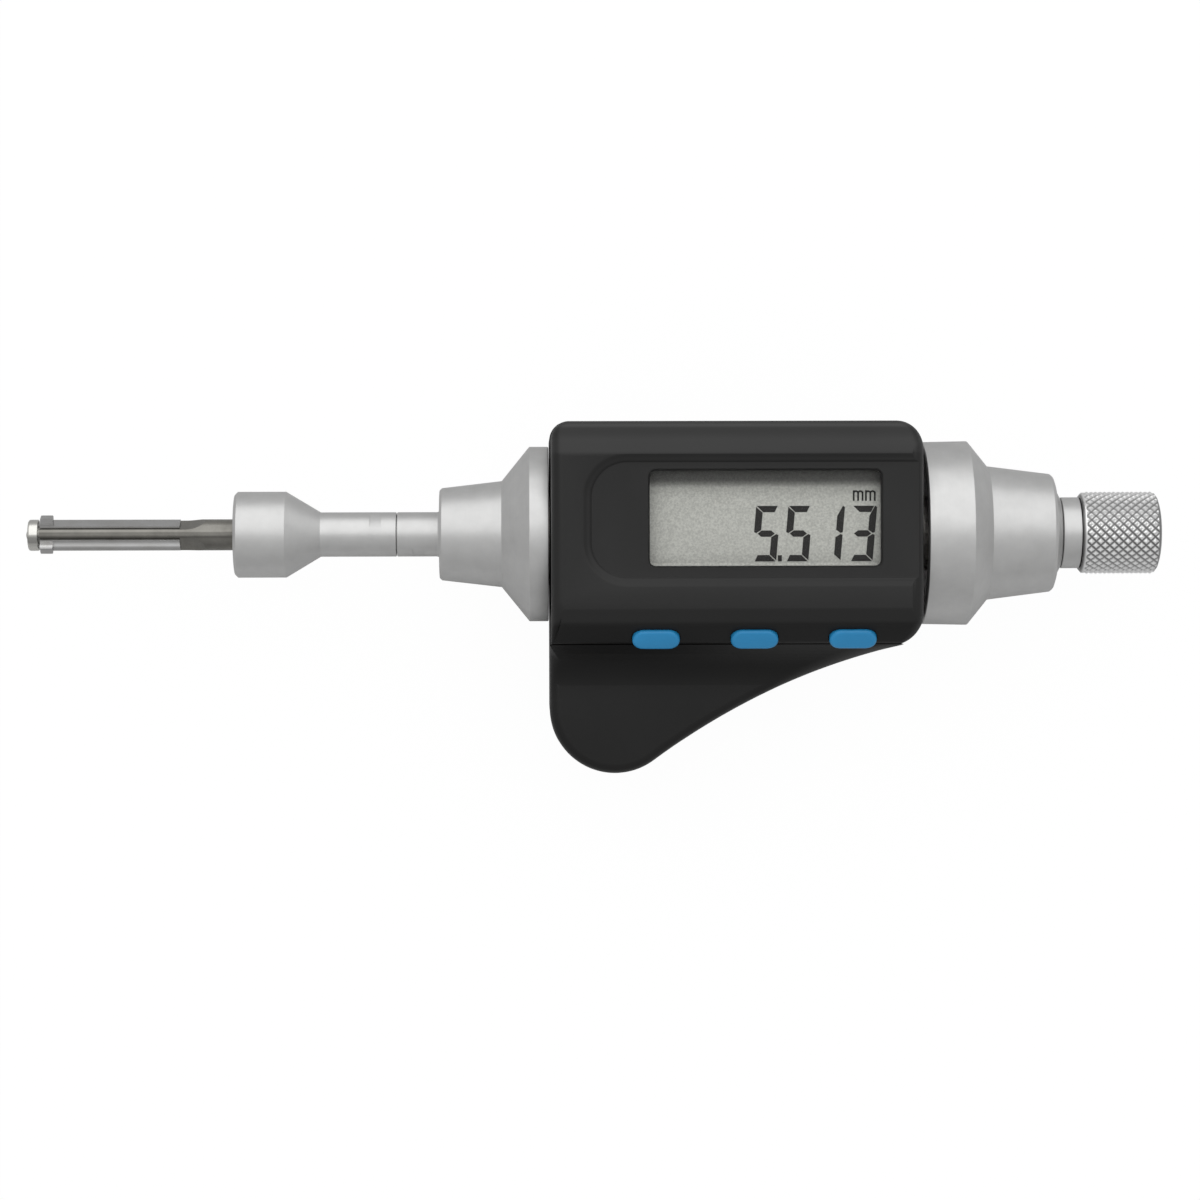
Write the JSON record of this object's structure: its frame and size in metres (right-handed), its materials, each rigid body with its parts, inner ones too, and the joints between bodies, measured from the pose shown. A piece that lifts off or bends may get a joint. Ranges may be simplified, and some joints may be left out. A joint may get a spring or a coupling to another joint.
{
  "type": "inside micrometer",
  "caption": "Digital three-point inside micrometer with a slim measuring head, dark display housing with blue buttons, satin thimble and knurled ratchet",
  "frame": {"origin": "on the flat back of the housing, under the spindle's axis", "axes": "+X along the spindle towards the ratchet, +Y towards the top edge of the display, +Z out of the display"},
  "size_m": [0.1583, 0.0489, 0.029],
  "materials": {
    "satin_chrome": "satin chrome plating, fine turned grain",
    "ground_steel": "ground steel",
    "brass": "turned brass",
    "dark_plastic": "dark grey moulded plastic, fine grain",
    "blue_plastic": "blue moulded plastic, satin",
    "white_plastic": "white moulded plastic",
    "rubber": "black rubber",
    "clear_window": "clear window",
    "lcd_grey": "grey liquid crystal panel",
    "board_green": "green circuit board"
  },
  "bodies": {
    "root": {"stem_tube": "ground_steel", "nose_cap": "ground_steel", "nose_screw": "ground_steel", "return_spring": "ground_steel", "head_body": "satin_chrome", "coupling_neck": "satin_chrome", "front_sleeve": "satin_chrome", "front_seal_ring": "rubber", "barrel_tube": "ground_steel", "spindle_bush": "brass", "stator_disc": "board_green", "nut_sleeve": "ground_steel", "spindle_nut": "brass", "rear_housing": "dark_plastic", "front_cover": "dark_plastic", "window_lens": "clear_window", "lcd_panel": "lcd_grey", "lcd_frame": "white_plastic", "connector_strip_top": "rubber", "connector_strip_bottom": "rubber", "circuit_board": "board_green", "processor_chip": "dark_plastic", "coin_cell": "ground_steel", "battery_contact_minus": "brass", "battery_contact_plus": "brass", "battery_seal_ring": "rubber", "housing_gasket": "rubber", "button_mat": "rubber", "housing_screw_1": "ground_steel", "housing_screw_2": "ground_steel", "housing_screw_3": "ground_steel", "housing_screw_4": "ground_steel"},
    "push_rod": {"measuring_cone_rod": "ground_steel", "transmission_rod": "ground_steel"},
    "thimble_group": {"thimble": "satin_chrome", "thimble_guide_ring": "white_plastic", "spindle": "ground_steel", "ratchet_shaft": "satin_chrome", "ratchet_screw": "ground_steel"},
    "ratchet_group": {"ratchet_knob": "satin_chrome", "ratchet_clutch": "ground_steel", "ratchet_spring": "ground_steel"},
    "rotor": {"rotor_disc": "brass"},
    "jaw_body_1": {"jaw_1": "ground_steel"},
    "jaw_body_2": {"jaw_2": "ground_steel"},
    "jaw_body_3": {"jaw_3": "ground_steel"},
    "button_left_body": {"button_left": "blue_plastic"},
    "button_middle_body": {"button_middle": "blue_plastic"},
    "button_right_body": {"button_right": "blue_plastic"},
    "battery_cover_body": {"battery_cover": "dark_plastic"}
  },
  "joints": [
    {"name": "thimble_turn", "type": "hinge", "parent": "push_rod", "child": "thimble_group", "pos_m": [0.03, 0, 0.014], "axis": [-1, 0, 0], "range_deg": [-9.86, 711.14]},
    {"name": "push_slide", "type": "slide", "parent": "root", "child": "push_rod", "axis": [-1, 0, 0], "range_m": [-0.00001, 0.00099]},
    {"name": "ratchet_turn", "type": "hinge", "parent": "thimble_group", "child": "ratchet_group", "pos_m": [0.053, 0, 0.014], "axis": [-1, 0, 0], "continuous": true},
    {"name": "rotor_turn", "type": "hinge", "parent": "root", "child": "rotor", "pos_m": [-0.012, 0, 0.014], "axis": [-1, 0, 0], "range_deg": [-9.86, 711.14]},
    {"name": "jaw_1_spread", "type": "hinge", "parent": "root", "child": "jaw_body_1", "pos_m": [-0.0772, 0.00146, 0.01465], "axis": [0, 0.4067, -0.9135], "range_deg": [-0.02, 1.52]},
    {"name": "jaw_2_spread", "type": "hinge", "parent": "root", "child": "jaw_body_2", "pos_m": [-0.0772, -0.00129, 0.01494], "axis": [0, 0.5878, 0.809], "range_deg": [-0.02, 1.52]},
    {"name": "jaw_3_spread", "type": "hinge", "parent": "root", "child": "jaw_body_3", "pos_m": [-0.0772, -0.00017, 0.01241], "axis": [0, -0.9945, 0.1045], "range_deg": [-0.02, 1.52]},
    {"name": "button_left_press", "type": "slide", "parent": "root", "child": "button_left_body", "axis": [0, 0.7071, -0.7071], "range_m": [0, 0.0005], "stiffness_N_per_m": 200, "springref_m": -0.0005},
    {"name": "button_middle_press", "type": "slide", "parent": "root", "child": "button_middle_body", "axis": [0, 0.7071, -0.7071], "range_m": [0, 0.0005], "stiffness_N_per_m": 200, "springref_m": -0.0005},
    {"name": "button_right_press", "type": "slide", "parent": "root", "child": "button_right_body", "axis": [0, 0.7071, -0.7071], "range_m": [0, 0.0005], "stiffness_N_per_m": 200, "springref_m": -0.0005},
    {"name": "battery_cover_turn", "type": "hinge", "parent": "root", "child": "battery_cover_body", "pos_m": [-0.0126, -0.0173, 0.0009], "axis": [0, 0, 1], "range_deg": [0, 45]}
  ],
  "couplings": [
    {"joint": "thimble_turn", "follows": "push_slide", "rad_per_m": 12566},
    {"joint": "rotor_turn", "follows": "push_slide", "rad_per_m": 12566},
    {"joint": "jaw_1_spread", "follows": "push_slide", "rad_per_m": 26.788},
    {"joint": "jaw_2_spread", "follows": "push_slide", "rad_per_m": 26.788},
    {"joint": "jaw_3_spread", "follows": "push_slide", "rad_per_m": 26.788}
  ]
}
